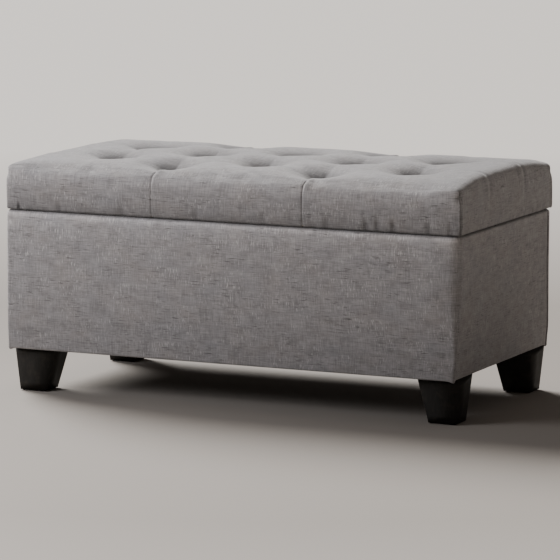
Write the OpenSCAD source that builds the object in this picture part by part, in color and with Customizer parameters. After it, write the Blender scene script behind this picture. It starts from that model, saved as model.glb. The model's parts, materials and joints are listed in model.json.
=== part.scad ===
// Upholstered storage bench with a tufted lift-up lid on four block legs.
// Origin on the floor under the middle of the bench, +Z up, front face towards -Y. Millimetres.

/* [Bench] */
// Overall width across the box covers
body_w = 874; // [780:2:960]
// Depth across the box covers, front to back
body_d = 458; // [430:2:500]
// Height of the legs under the box
leg_h = 82; // [60:1:110]
// Height of the box above the legs
box_h = 248; // [230:1:300]

/* [Panels] */
// Thickness of the wall boards
board_t = 12; // [10:1:15]
// Thickness of foam and fabric outside a wall board
pad_t = 7; // [6:0.5:9]
// Thickness of the fabric covers
fabric_t = 1.5; // [1:0.1:1.8]
// Radius of the upright front and rear corners
corner_r = 18; // [15:0.5:18]

/* [Lid] */
// Gap between box rim and lid
lid_gap = 3.6; // [3.4:0.1:5]
// Thickness of the lid
lid_t = 100.4; // [90:0.2:115]
// Radius of the padded top edges
lid_edge_r = 42; // [32:1:48]
// Radius of a tuft well at its mouth
tuft_r = 33; // [28:0.5:38]
// Depth of a tuft well below the top
tuft_h = 28; // [22:1:32]

/* [Legs] */
// Width of a leg at the top
leg_top = 74; // [60:1:80]
// Width of a leg at the bottom
leg_foot = 50; // [40:1:60]

/* [Lid stays] */
// Reach of the lid bracket pivot in front of the hinge
stay_reach = 120; // [110:1:130]
// Height of the box bracket pivot below the hinge
stay_drop = 95; // [85:1:105]

/* [Hidden] */
$fn = 64;
mid_y = -3;
half_w = body_w / 2;
half_d = body_d / 2;
wall_t = board_t + pad_t;
inner_w = half_w - wall_t;
inner_d = half_d - wall_t;
box_z0 = leg_h;
rim_z = leg_h + box_h;
board_z0 = box_z0 + fabric_t;
board_z1 = rim_z - 4;
foam_z1 = rim_z - fabric_t;
lid_z0 = rim_z + lid_gap;
lid_z1 = lid_z0 + lid_t;
lid_half_w = half_w + 1;
lid_board_t = 15;
lid_board_z0 = lid_z0 + fabric_t;
lid_board_z1 = lid_board_z0 + lid_board_t;
lid_wrap = 32;
tuft_z = lid_z1 - tuft_h;
tuft_dx = body_w / 3;
tuft_dy = body_d / 6;
button_r = 10;
button_z = tuft_z;
twine_r = 1;
cleat = 18;
block = 80;
block_z1 = board_z0 + cleat;
floor_z0 = block_z1;
floor_z1 = floor_z0 + 12;
post = 25;
post_z1 = floor_z1 + 186;
lining_t = 1;
leg_in_x = 8;
leg_in_front = 20;
leg_in_back = 7;
lean_x = 5.5;
lean_y = 9;
glide_h = 1.5;
hinge_y = half_d + 3.1;
hinge_z = rim_z + lid_gap / 2;
knuckle_r = 2.8;
pin_r = 1.2;
leaf_t = 1.3;
leaf_w = 60;
leaf_y0 = half_d - 18;
hinge_x = 270;
screw_y = half_d - 12.5;
stay_x = inner_w - lining_t;
arm_w = 14;
arm_t = 2;
lower_y = hinge_y - 60;
lower_z = hinge_z - stay_drop;
upper_y = hinge_y - stay_reach;
upper_z = hinge_z - 13;
elbow_y = lower_y - stay_reach;
elbow_z = lower_z - 13;
arm_a = atan2(13, stay_reach);
rivet_r = 2.5;
lower_x = stay_x - 5;
upper_x = stay_x - 8;
tab_x = stay_x - 11;
lower_len = sqrt(stay_reach * stay_reach + 13 * 13);
upper_len = sqrt(60 * 60 + stay_drop * stay_drop);
upper_a = atan2(stay_drop, 60);
head_h = 2.5;
box_ends = [[-30, -18.2], [-5.8, 5.8], [18.2, 30]];
lid_ends = [[-17.8, -6.2], [6.2, 17.8]];

fabric = [0.55, 0.54, 0.55];
foam = [0.90, 0.86, 0.70];
wood = [0.72, 0.58, 0.40];
black = [0.11, 0.10, 0.10];
cloth = [0.20, 0.20, 0.21];
steel = [0.66, 0.67, 0.69];

// A box given by its two opposite corners.
module span(a, b) {
  translate(a) cube([b[0] - a[0], b[1] - a[1], b[2] - a[2]]);
}

// Flips a piece made for the front so that it becomes the back one.
module at_back() {
  mirror([0, 1, 0]) children();
}

module both_sides() {
  children();
  mirror([1, 0, 0]) children();
}

module four_corners() {
  both_sides() children();
  both_sides() at_back() children();
}

// Plan outline of a front wall, drawn in by the given amount.
module wall_plan(inset) {
  intersection() {
    translate([-half_w, -half_d]) square([body_w, wall_t]);
    union() {
      translate([-half_w + inset, -half_d + corner_r])
        square([body_w - 2 * inset, wall_t]);
      translate([-half_w + corner_r, -half_d + inset])
        square([body_w - 2 * corner_r, wall_t]);
      for (side = [-1, 1])
        translate([side * (half_w - corner_r), -half_d + corner_r]) circle(r = corner_r - inset);
    }
  }
}

module wall_block(inset, z0, z1) {
  translate([0, 0, z0]) linear_extrude(z1 - z0) wall_plan(inset);
}

module end_block(inset, z0, z1) {
  span([inner_w, -inner_d + min(inset, fabric_t), z0],
    [half_w - inset, inner_d - min(inset, fabric_t), z1]);
}

// Screws through the corner posts, used both as the screws and as their holes.
module post_screws(shank, head) {
  four_corners()
    for (z = [floor_z1 + 40, floor_z1 + 146]) {
      translate([inner_w - 12, -inner_d + post, z]) rotate([90, 0, 0]) {
        cylinder(r = shank, h = post + 10);
        translate([0, 0, -head_h]) cylinder(r = head, h = head_h);
      }
      translate([inner_w - post, -inner_d + 12, z + 14]) rotate([0, 90, 0]) {
        cylinder(r = shank, h = post + 10);
        translate([0, 0, -head_h]) cylinder(r = head, h = head_h);
      }
    }
}

// Screws from the bottom board down into the cleats.
module floor_screws(shank, head) {
  four_corners()
    translate([190, -inner_d + cleat / 2, floor_z0 - 14]) {
      cylinder(r = shank, h = 24);
      translate([0, 0, 24]) cylinder(r = head, h = 2);
    }
  four_corners()
    translate([inner_w - cleat / 2, -70, floor_z0 - 14]) {
      cylinder(r = shank, h = 24);
      translate([0, 0, 24]) cylinder(r = head, h = 2);
    }
}

// Hinge screws: point down into the box rim, or up into the lid.
module rim_screws() {
  both_sides()
    for (x = [-20, 0, 20])
      translate([hinge_x + x, screw_y, rim_z - 16]) {
        cylinder(r = 1.5, h = 16 + leaf_t);
        translate([0, 0, 16]) cylinder(r1 = 1.5, r2 = 2.8, h = leaf_t);
      }
}

module lid_screws() {
  both_sides()
    for (x = [-20, 0, 20])
      translate([hinge_x + x, screw_y, lid_z0 - leaf_t]) {
        cylinder(r = 1.5, h = 13);
        cylinder(r1 = 2.8, r2 = 1.5, h = leaf_t);
      }
}

// The rear legs stand closer to the edge of the box than the front ones.
module under_legs(in_x, in_y) {
  both_sides() {
    translate([half_w - leg_in_x - in_x, -half_d + leg_in_front + in_y, 0]) children();
    translate([half_w - leg_in_x - in_x, half_d - leg_in_back - in_y, 0]) children();
  }
}

module leg_centres() {
  under_legs(leg_top / 2, leg_top / 2) children();
}

module front_board() {
  color(wood) difference() {
    wall_block(pad_t, board_z0, board_z1);
    post_screws(2, 2);
  }
}

module back_board() {
  color(wood) difference() {
    at_back() wall_block(pad_t, board_z0, board_z1);
    post_screws(2, 2);
    rim_screws();
  }
}

module right_board() {
  color(wood) difference() {
    end_block(pad_t, board_z0, board_z1);
    post_screws(2, 2);
  }
}

module left_board() {
  mirror([1, 0, 0]) right_board();
}

module front_padding() {
  color(foam) difference() {
    wall_block(fabric_t, board_z0, foam_z1);
    wall_block(pad_t, board_z0 - 1, board_z1);
  }
}

module back_padding() {
  color(foam) difference() {
    at_back() front_padding();
    rim_screws();
  }
}

module right_padding() {
  color(foam) difference() {
    end_block(fabric_t, board_z0, foam_z1);
    end_block(pad_t, board_z0 - 1, board_z1);
  }
}

module left_padding() {
  mirror([1, 0, 0]) right_padding();
}

module front_cover() {
  color(fabric) difference() {
    wall_block(0, box_z0, rim_z);
    wall_block(fabric_t, board_z0, foam_z1);
  }
}

module back_cover() {
  color(fabric) difference() {
    at_back() front_cover();
    rim_screws();
  }
}

module right_cover() {
  color(fabric) difference() {
    end_block(0, box_z0, rim_z);
    end_block(fabric_t, board_z0, foam_z1);
  }
}

module left_cover() {
  mirror([1, 0, 0]) right_cover();
}

module corner_posts() {
  color(wood) difference() {
    four_corners()
      span([inner_w - post, -inner_d, floor_z1], [inner_w, -inner_d + post, post_z1]);
    post_screws(2, 2);
  }
}

module corner_screws() {
  color(steel) post_screws(2, 4);
}

module bottom_board() {
  color(wood) difference() {
    span([-inner_w, -inner_d, floor_z0], [inner_w, inner_d, floor_z1]);
    floor_screws(2, 4);
  }
}

module front_cleat() {
  color(wood) difference() {
    span([-inner_w + block, -inner_d, board_z0], [inner_w - block, -inner_d + cleat, floor_z0]);
    floor_screws(2, 2);
  }
}

module back_cleat() {
  at_back() front_cleat();
}

module right_cleat() {
  color(wood) difference() {
    span([inner_w - cleat, -inner_d + block, board_z0], [inner_w, inner_d - block, floor_z0]);
    floor_screws(2, 2);
  }
}

module left_cleat() {
  mirror([1, 0, 0]) right_cleat();
}

module leg_blocks() {
  color(wood) difference() {
    four_corners()
      span([inner_w - block, -inner_d, board_z0], [inner_w, -inner_d + block, block_z1]);
    leg_centres() {
      translate([0, 0, board_z0]) cylinder(r = 5.5, h = cleat + 1);
      translate([0, 0, block_z1 - 1.5]) cylinder(r = 11, h = 2);
    }
  }
}

module base_screws() {
  color(steel) floor_screws(2, 4);
}

module front_lining() {
  color(cloth) span([-inner_w + post, -inner_d, floor_z1],
    [inner_w - post, -inner_d + lining_t, board_z1]);
}

module back_lining() {
  at_back() front_lining();
}

module right_lining() {
  color(cloth) span([inner_w - lining_t, -inner_d + post, floor_z1],
    [inner_w, inner_d - post, board_z1]);
}

module left_lining() {
  mirror([1, 0, 0]) right_lining();
}

module floor_lining() {
  color(cloth) difference() {
    span([-inner_w + lining_t, -inner_d + lining_t, floor_z1],
      [inner_w - lining_t, inner_d - lining_t, floor_z1 + lining_t]);
    four_corners()
      span([inner_w - post, -inner_d, floor_z1 - 1], [inner_w, -inner_d + post, floor_z1 + 2]);
  }
}

module dust_cover() {
  color(cloth) difference() {
    span([-inner_w, -inner_d, box_z0], [inner_w, inner_d, board_z0]);
    leg_centres() translate([0, 0, box_z0 - 1]) cylinder(r = 4, h = 4);
  }
}

// Tapered block leg, made where the front right one stands.
module leg() {
  x1 = half_w - leg_in_x;
  x0 = x1 - leg_top;
  y0 = -half_d + leg_in_front;
  y1 = y0 + leg_top;
  color(black) difference() {
    intersection() {
      translate([0, y1, 0]) rotate([90, 0, 0]) linear_extrude(leg_top)
        polygon([[x0, leg_h], [x1, leg_h], [x1 - lean_x, glide_h], [x1 - lean_x - leg_foot, glide_h]]);
      translate([x0, 0, 0]) rotate([90, 0, 90]) linear_extrude(leg_top)
        polygon([[y0, leg_h], [y1, leg_h], [y0 + lean_y + leg_foot, glide_h], [y0 + lean_y, glide_h]]);
    }
    translate([(x0 + x1) / 2, (y0 + y1) / 2, leg_h - 34]) cylinder(r = 4, h = 60);
    leg_glides();
  }
}

module front_right_leg() {
  leg();
}

module front_left_leg() {
  mirror([1, 0, 0]) leg();
}

module rear_right_leg() {
  translate([0, leg_in_front - leg_in_back, 0]) at_back() leg();
}

module rear_left_leg() {
  mirror([1, 0, 0]) rear_right_leg();
}

module leg_bolts() {
  color(steel) leg_centres() translate([0, 0, leg_h - 34]) cylinder(r = 4, h = 34 + cleat);
}

module leg_tee_nuts() {
  color(steel) leg_centres() difference() {
    union() {
      translate([0, 0, block_z1 - 12]) cylinder(r = 5.5, h = 12);
      translate([0, 0, block_z1 - 1.5]) cylinder(r = 11, h = 1.5);
    }
    translate([0, 0, block_z1 - 13]) cylinder(r = 4, h = 14);
  }
}

module leg_glides() {
  color(cloth) under_legs(lean_x + leg_foot / 2, lean_y + leg_foot / 2)
    cylinder(r = 15, h = 3);
}

module rim_bumpers() {
  color(cloth) both_sides() {
    translate([inner_w - 20, -half_d + wall_t / 2, rim_z]) cylinder(r = 5, h = lid_gap - 0.2);
    translate([half_w - wall_t / 2, -40, rim_z]) cylinder(r = 5, h = lid_gap - 0.2);
  }
}

// Barrel pieces of a hinge between the given cuts along its length.
module knuckles(ends, bore) {
  for (e = ends)
    translate([hinge_x + e[0], hinge_y, hinge_z]) rotate([0, 90, 0]) difference() {
      cylinder(r = knuckle_r, h = e[1] - e[0]);
      translate([0, 0, -1]) cylinder(r = bore, h = e[1] - e[0] + 2);
    }
}

module hinge_box_leaves() {
  color(steel) both_sides() {
    difference() {
      span([hinge_x - leaf_w / 2, leaf_y0, rim_z], [hinge_x + leaf_w / 2, half_d, rim_z + leaf_t]);
      rim_screws();
    }
    for (e = box_ends)
      difference() {
        span([hinge_x + e[0], half_d, rim_z], [hinge_x + e[1], hinge_y, rim_z + leaf_t]);
        translate([hinge_x + e[0] - 1, hinge_y, hinge_z]) rotate([0, 90, 0])
          cylinder(r = knuckle_r - 0.3, h = e[1] - e[0] + 2);
      }
    knuckles(box_ends, pin_r);
  }
}

module hinge_lid_leaves() {
  color(steel) both_sides() {
    difference() {
      span([hinge_x - leaf_w / 2, leaf_y0, lid_z0 - leaf_t], [hinge_x + leaf_w / 2, half_d, lid_z0]);
      lid_screws();
    }
    for (e = lid_ends)
      difference() {
        span([hinge_x + e[0], half_d, lid_z0 - leaf_t], [hinge_x + e[1], hinge_y, lid_z0]);
        translate([hinge_x + e[0] - 1, hinge_y, hinge_z]) rotate([0, 90, 0])
          cylinder(r = knuckle_r - 0.3, h = e[1] - e[0] + 2);
      }
    knuckles(lid_ends, pin_r + 0.06);
  }
}

module hinge_pins() {
  color(steel) both_sides()
    translate([hinge_x - 30, hinge_y, hinge_z]) rotate([0, 90, 0]) cylinder(r = pin_r, h = 60);
}

module hinge_box_screws() {
  color(steel) rim_screws();
}

module hinge_lid_screws() {
  color(steel) lid_screws();
}

// Upright outline of the cushion across the given half width, drawn in by an inset.
module cushion_profile(half, inset) {
  translate([-half + inset, lid_z0]) square([2 * (half - inset), lid_t - lid_edge_r]);
  translate([-half + lid_edge_r, lid_z0]) square([2 * (half - lid_edge_r), lid_t - inset]);
  for (side = [-1, 1])
    translate([side * (half - lid_edge_r), lid_z1 - lid_edge_r]) circle(r = lid_edge_r - inset);
}

module rounded_plan(half_x, half_y, r) {
  square([2 * half_x, 2 * (half_y - r)], center = true);
  square([2 * (half_x - r), 2 * half_y], center = true);
  for (sx = [-1, 1], sy = [-1, 1])
    translate([sx * (half_x - r), sy * (half_y - r)]) circle(r = r);
}

// The padded cushion without its tufts, from the given height up.
module cushion(inset, z0) {
  intersection() {
    translate([0, half_d, 0]) rotate([90, 0, 0]) linear_extrude(body_d)
      cushion_profile(lid_half_w, inset);
    translate([-lid_half_w, 0, 0]) rotate([90, 0, 90]) linear_extrude(2 * lid_half_w)
      cushion_profile(half_d, inset);
    translate([0, 0, z0]) linear_extrude(lid_t)
      rounded_plan(lid_half_w - inset, half_d - inset, 22 - inset);
  }
}

// Tuft places: rows of two and three, set like diamonds.
module tuft_places() {
  for (row = [-2, 0, 2], side = [-1, 1])
    translate([side * tuft_dx / 2, row * tuft_dy, 0]) children();
  for (row = [-1, 1], column = [-1, 0, 1])
    translate([column * tuft_dx, row * tuft_dy, 0]) children();
}

// Cone-shaped wells, drawn out by the given amount.
module tuft_wells(out) {
  tuft_places() translate([0, 0, tuft_z - out])
    cylinder(r1 = button_r + 1 + out, r2 = tuft_r + 1 + 2 * out, h = tuft_h + 1 + out);
}

module twine_holes() {
  tuft_places() translate([0, 0, lid_z0]) cylinder(r = twine_r, h = lid_t);
}

module lid_board() {
  color(wood) difference() {
    translate([0, 0, lid_board_z0]) linear_extrude(lid_board_t)
      rounded_plan(lid_half_w - fabric_t, half_d - fabric_t, 22 - fabric_t);
    twine_holes();
    tuft_places() translate([0, 0, lid_board_z0 - 1]) cylinder(r = button_r, h = 3);
    lid_screws();
  }
}

module lid_foam() {
  color(foam) difference() {
    cushion(fabric_t, lid_board_z1);
    tuft_wells(fabric_t);
    twine_holes();
  }
}

module lid_cover() {
  color(fabric) difference() {
    cushion(0, lid_z0);
    difference() {
      cushion(fabric_t, lid_board_z0);
      tuft_wells(fabric_t);
    }
    translate([0, 0, lid_z0 - 1]) linear_extrude(fabric_t + 1.5)
      square([2 * (lid_half_w - lid_wrap), 2 * (half_d - lid_wrap)], center = true);
    tuft_wells(0);
    twine_holes();
    lid_screws();
  }
}

module lid_lining() {
  color(cloth) span([-lid_half_w + lid_wrap, -half_d + lid_wrap, lid_board_z0 - lining_t],
    [lid_half_w - lid_wrap, half_d - lid_wrap, lid_board_z0]);
}

module tuft_buttons() {
  color(fabric) tuft_places() translate([0, 0, button_z]) intersection() {
    cylinder(r = button_r, h = 8);
    translate([0, 0, -8]) sphere(r = 14);
  }
}

module tuft_twines() {
  color(cloth) tuft_places()
    translate([0, 0, lid_board_z0 + 0.5]) cylinder(r = twine_r, h = button_z - lid_board_z0 - 0.5);
}

module tuft_washers() {
  color(steel) tuft_places() translate([0, 0, lid_board_z0 + 0.5]) difference() {
    cylinder(r = button_r, h = 1.5);
    translate([0, 0, -1]) cylinder(r = twine_r, h = 4);
  }
}

// A flat bar along Y with round ends and rivet holes, its first hole at the origin.
module bar(length, t, hole_a, hole_b, tail) {
  rotate([90, 0, 90]) linear_extrude(t) difference() {
    union() {
      circle(r = arm_w / 2);
      translate([-length - tail, -arm_w / 2]) square([length + tail, arm_w]);
      translate([-length - tail, 0]) circle(r = arm_w / 2);
    }
    circle(r = hole_a);
    translate([-length, 0]) circle(r = hole_b);
  }
}

module lower_arm() {
  color(steel) translate([lower_x, lower_y, lower_z]) rotate([arm_a, 0, 0]) {
    bar(lower_len, arm_t, rivet_r + 0.06, rivet_r, 14);
    translate([-2.7, -lower_len - 16.5, -4]) rotate([0, 90, 0]) cylinder(r = 2.4, h = 2.7);
  }
}

module upper_arm() {
  color(steel) translate([upper_x, upper_y, upper_z]) rotate([upper_a, 0, 0])
    bar(upper_len, arm_t, rivet_r + 0.06, rivet_r + 0.1, 0);
}

// A rivet along X from the given place, with a head at each end.
module rivet(x0, x1, y, z, head) {
  translate([x0, y, z]) rotate([0, 90, 0]) cylinder(r = rivet_r, h = x1 - x0);
  translate([x0, y, z]) rotate([0, 90, 0]) cylinder(r = 4.2, h = head);
}

module box_bracket() {
  color(steel) difference() {
    span([stay_x - 2, lower_y - 12, lower_z - 26], [stay_x, lower_y + 12, lower_z + 26]);
    translate([stay_x - 3, lower_y, lower_z]) rotate([0, 90, 0]) cylinder(r = rivet_r, h = 4);
  }
}

module stay_box_brackets() {
  both_sides() box_bracket();
}

module stay_box_rivets() {
  color(steel) both_sides() rivet(lower_x - 1, stay_x, lower_y, lower_z, 0.8);
}

module lid_bracket() {
  color(steel) difference() {
    union() {
      span([tab_x - 26, upper_y - 22, lid_z0 - 2], [tab_x + 2, upper_y + 22, lid_z0]);
      span([tab_x, upper_y - 8, upper_z], [tab_x + 2, upper_y + 8, lid_z0 - 2]);
      translate([tab_x, upper_y, upper_z]) rotate([0, 90, 0]) cylinder(r = 8, h = 2);
    }
    translate([tab_x - 1, upper_y, upper_z]) rotate([0, 90, 0]) cylinder(r = rivet_r, h = 4);
  }
}

module stay_lid_brackets() {
  both_sides() lid_bracket();
}

module stay_lid_rivets() {
  color(steel) both_sides() {
    rivet(tab_x - 0.8, upper_x + arm_t + 0.1, upper_y, upper_z, 0.8);
  }
}

module elbow_rivet() {
  color(steel) rivet(upper_x - 0.9, lower_x + arm_t, elbow_y, elbow_z, 0.8);
}

module right_stay_lower_arm() {
  lower_arm();
}

module right_stay_upper_arm() {
  upper_arm();
}

module right_elbow_rivet() {
  elbow_rivet();
}

module left_stay_lower_arm() {
  mirror([1, 0, 0]) lower_arm();
}

module left_stay_upper_arm() {
  mirror([1, 0, 0]) upper_arm();
}

module left_elbow_rivet() {
  mirror([1, 0, 0]) elbow_rivet();
}

module placed() {
  translate([0, mid_y, 0]) children();
}

placed() front_board();
placed() back_board();
placed() left_board();
placed() right_board();
placed() front_padding();
placed() back_padding();
placed() left_padding();
placed() right_padding();
placed() front_cover();
placed() back_cover();
placed() left_cover();
placed() right_cover();
placed() corner_posts();
placed() corner_screws();
placed() bottom_board();
placed() front_cleat();
placed() back_cleat();
placed() left_cleat();
placed() right_cleat();
placed() leg_blocks();
placed() base_screws();
placed() front_lining();
placed() back_lining();
placed() left_lining();
placed() right_lining();
placed() floor_lining();
placed() dust_cover();
placed() front_left_leg();
placed() front_right_leg();
placed() rear_left_leg();
placed() rear_right_leg();
placed() leg_bolts();
placed() leg_tee_nuts();
placed() leg_glides();
placed() rim_bumpers();
placed() hinge_box_leaves();
placed() hinge_lid_leaves();
placed() hinge_pins();
placed() hinge_box_screws();
placed() hinge_lid_screws();
placed() lid_board();
placed() lid_foam();
placed() lid_cover();
placed() lid_lining();
placed() tuft_buttons();
placed() tuft_twines();
placed() tuft_washers();
placed() stay_box_brackets();
placed() stay_box_rivets();
placed() stay_lid_brackets();
placed() stay_lid_rivets();
placed() left_stay_lower_arm();
placed() left_stay_upper_arm();
placed() left_elbow_rivet();
placed() right_stay_lower_arm();
placed() right_stay_upper_arm();
placed() right_elbow_rivet();
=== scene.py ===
"""Upholstered storage bench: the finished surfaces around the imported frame.

Metres, +Z up, front towards -Y. Shapes are worked out in millimetres about the bench's own middle,
and moved and scaled when a mesh is made.
"""
import json
import math

import bmesh
import bpy
import numpy as np
from mathutils import Matrix, Vector
from mathutils.kdtree import KDTree


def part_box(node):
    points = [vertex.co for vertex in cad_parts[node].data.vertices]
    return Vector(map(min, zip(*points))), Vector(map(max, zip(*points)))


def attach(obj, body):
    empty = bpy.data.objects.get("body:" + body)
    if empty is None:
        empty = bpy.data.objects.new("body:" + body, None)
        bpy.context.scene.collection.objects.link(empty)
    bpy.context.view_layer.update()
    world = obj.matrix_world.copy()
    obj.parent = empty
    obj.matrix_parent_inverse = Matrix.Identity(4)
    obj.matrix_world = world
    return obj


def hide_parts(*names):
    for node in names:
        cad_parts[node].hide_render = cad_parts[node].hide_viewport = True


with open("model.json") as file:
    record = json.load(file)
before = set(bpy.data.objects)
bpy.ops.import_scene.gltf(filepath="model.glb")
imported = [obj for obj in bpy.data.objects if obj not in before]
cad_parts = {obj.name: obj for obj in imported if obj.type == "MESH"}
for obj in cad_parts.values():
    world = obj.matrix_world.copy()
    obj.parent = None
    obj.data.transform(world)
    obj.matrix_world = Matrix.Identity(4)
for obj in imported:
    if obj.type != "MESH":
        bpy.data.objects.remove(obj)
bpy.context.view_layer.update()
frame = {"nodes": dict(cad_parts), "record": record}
nodes = frame["nodes"]

MM = 0.001
MID_Y = -3.0
CLOTH_T = 1.2

# ---------------------------------------------------------------- camera, lights, floor

AZIMUTH, ELEVATION, ROLL = 24.122, 8.123, 0.281
CAMERA_AT = (2.926981, -6.537503, 1.224013)
LENS = 257.14
FLOOR_HALF = 30


def make_camera():
    cam = bpy.data.objects.new("camera", bpy.data.cameras.new("camera"))
    bpy.context.scene.collection.objects.link(cam)
    cam.data.sensor_width = 36.0
    cam.data.lens = LENS
    cam.data.clip_start, cam.data.clip_end = 0.1, 60.0
    turn = (
        Matrix.Rotation(math.radians(AZIMUTH), 4, "Z")
        @ Matrix.Rotation(math.radians(90.0 - ELEVATION), 4, "X")
        @ Matrix.Rotation(math.radians(ROLL), 4, "Z")
    )
    cam.matrix_world = Matrix.Translation(CAMERA_AT) @ turn
    bpy.context.scene.camera = cam


def lamp(name, kind, at, target, power, colour):
    data = bpy.data.lights.new(name, kind)
    data.energy = power
    data.color = colour
    made = bpy.data.objects.new(name, data)
    made.location = at
    made.rotation_mode = "QUATERNION"
    made.rotation_quaternion = (Vector(target) - Vector(at)).to_track_quat("-Z", "Y")
    bpy.context.scene.collection.objects.link(made)
    return data


def make_room():
    """A weak warm sky, a broad key high on the left, a cool window in front and a plain floor."""
    world = bpy.data.worlds.new("studio")
    world.use_nodes = True
    sky = world.node_tree.nodes["Background"]
    sky.inputs["Color"].default_value = (1.0, 0.90, 0.84, 1)
    sky.inputs["Strength"].default_value = 0.128
    bpy.context.scene.world = world
    sun = lamp("key", "SUN", (-1.5, 0.9, 1.35), (0, 0, 0), 6.5, (1.0, 0.985, 0.97))
    sun.angle = math.radians(34)
    fill = lamp("window", "AREA", (-1.05, -1.45, 0.92), (-0.05, -0.1, 0.3), 18.0, (0.945, 0.955, 1.0))
    fill.shape, fill.size, fill.size_y = "RECTANGLE", 1.0, 0.6
    corners = [(x * FLOOR_HALF, y * FLOOR_HALF, 0) for x, y in ((-1, -1), (1, -1), (1, 1), (-1, 1))]
    floor = new_mesh("floor", corners, [(0, 1, 2, 3)])
    mat, nt, bsdf = new_material("floor_paper")
    grain = noise_of(nt, (700, 700, 700), 2, uv=None)
    away = node(nt, "VectorMath", operation="LENGTH")
    nt.links.new(coords(nt, (1, 1, 1), uv=None), away.inputs[0])
    tone = mix_colour(nt, grain, (0.31, 0.28, 0.25), (0.35, 0.315, 0.28))
    tone = mix_colour(nt, remap(nt, away.outputs["Value"], 1.2, 4.0), tone, (0.74, 0.70, 0.655))
    nt.links.new(tone, bsdf.inputs["Base Color"])
    bsdf.inputs["Roughness"].default_value = 0.8
    floor.data.materials.append(mat)


# ---------------------------------------------------------------- meshes


def new_mesh(name, points, faces):
    mesh = bpy.data.meshes.new(name)
    mesh.from_pydata([tuple(p) for p in points], [], [tuple(f) for f in faces])
    mesh.update()
    obj = bpy.data.objects.new(name, mesh)
    bpy.context.scene.collection.objects.link(obj)
    return obj


def smooth(obj):
    obj.data.polygons.foreach_set("use_smooth", [True] * len(obj.data.polygons))
    obj.data.update()


class Patchwork:
    """Grids of points in millimetres, welded where they meet, each with its own cloth coordinates."""

    def __init__(self):
        self.points, self.uvs, self.faces, self.count = [], [], [], 0

    def add(self, points, uvs, flip=False):
        rows, cols = points.shape[:2]
        index = np.arange(rows * cols).reshape(rows, cols) + self.count
        quads = np.stack([index[:-1, :-1], index[:-1, 1:], index[1:, 1:], index[1:, :-1]], -1)
        quads = quads.reshape(-1, 4)
        if flip:
            quads = quads[:, ::-1]
        self.points.append(points.reshape(-1, 3))
        self.uvs.append(uvs.reshape(-1, 2))
        self.faces.append(quads)
        self.count += rows * cols

    def weld(self):
        points = np.concatenate(self.points)
        faces = np.concatenate(self.faces)
        corner_uv = np.concatenate(self.uvs)[faces]
        key = np.round(points, 3)
        _, first, back = np.unique(key, axis=0, return_index=True, return_inverse=True)
        faces = back.reshape(-1)[faces]
        whole = np.array([len(set(face)) == 4 for face in faces])
        self.v, self.f, self.corner_uv = points[first], faces[whole], corner_uv[whole].reshape(-1, 2)
        edges = np.concatenate([self.f[:, [0, 1]], self.f[:, [1, 2]], self.f[:, [2, 3]], self.f[:, [3, 0]]])
        self.e = np.unique(np.sort(edges, 1), axis=0)
        return self

    def normals(self):
        a, b, c, d = (self.v[self.f[:, i]] for i in range(4))
        face = np.cross(c - a, d - b)
        out = np.zeros_like(self.v)
        for i in range(4):
            np.add.at(out, self.f[:, i], face)
        return out / np.maximum(np.linalg.norm(out, axis=1, keepdims=True), 1e-9)

    def averaged(self, field, steps, weight=1.0):
        """A value of each point, drawn again and again towards the mean of its neighbours."""
        degree = np.bincount(self.e.reshape(-1), minlength=len(self.v))[:, None]
        weight = np.asarray(weight, float).reshape(-1, 1)
        field = field.copy()
        for _ in range(steps):
            total = np.zeros_like(field)
            np.add.at(total, self.e[:, 0], field[self.e[:, 1]])
            np.add.at(total, self.e[:, 1], field[self.e[:, 0]])
            field += weight * (total / degree - field)
        return field

    def relax(self, weight, steps):
        self.v = self.averaged(self.v, steps, weight)

    def build(self, name, shade=None):
        obj = new_mesh(name, (self.v + (0, MID_Y, 0)) * MM, self.f)
        layer = obj.data.uv_layers.new(name="cloth")
        layer.data.foreach_set("uv", (self.corner_uv * MM).reshape(-1))
        # The painted shade and highlight of each point, which scales the cloth's colour.
        if shade is not None:
            obj.data.attributes.new("shade", "FLOAT", "POINT").data.foreach_set("value", shade)
        smooth(obj)
        return obj


def ramp(x, low, high):
    """0 below low, 1 above high, eased between."""
    t = np.clip((x - low) / (high - low), 0, 1)
    return t * t * (3 - 2 * t)


def bell(x, width):
    return np.exp(-((x / width) ** 2))


def graded(low, high, places, fine, coarse, near, far):
    """Steps from low to high that are fine near the given places."""
    out = [low]
    places = np.asarray(places)
    while out[-1] < high:
        gap = np.min(np.abs(places - out[-1]))
        out.append(out[-1] + fine + (coarse - fine) * float(ramp(gap, near, far)))
    out = np.array(out)
    return low + (out - low) * (high - low) / (out[-1] - low)


def crowd(steps, places, reach, spacing):
    """Closer steps within reach of each place."""
    for place in places:
        close = np.linspace(place - reach, place + reach, round(2 * reach / spacing) + 1)
        steps = np.concatenate([steps[np.abs(steps - place) > reach + spacing / 2], close])
    return np.sort(steps)


def waves(points, seed, size, octaves=3):
    """Smooth random heights of about -1 to 1, made of crossed sine waves of the given size."""
    rng = np.random.default_rng(seed)
    total, scale = 0, 1.0
    for _ in range(octaves):
        for _ in range(4):
            way = rng.normal(size=3)
            way *= 2 * math.pi / (size * np.linalg.norm(way))
            total = total + scale * np.sin(points @ way + rng.uniform(0, 2 * math.pi))
        scale *= 0.55
        size *= 0.5
    return total / 4.5


def run_of(rows):
    """Distance along a line of points."""
    return np.concatenate([[0], np.cumsum(np.linalg.norm(np.diff(rows, axis=0), axis=1))])


def thicken(obj, thickness, offset=-1):
    solid = obj.modifiers.new("cloth thickness", "SOLIDIFY")
    solid.thickness = thickness * MM
    solid.offset = offset


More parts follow.
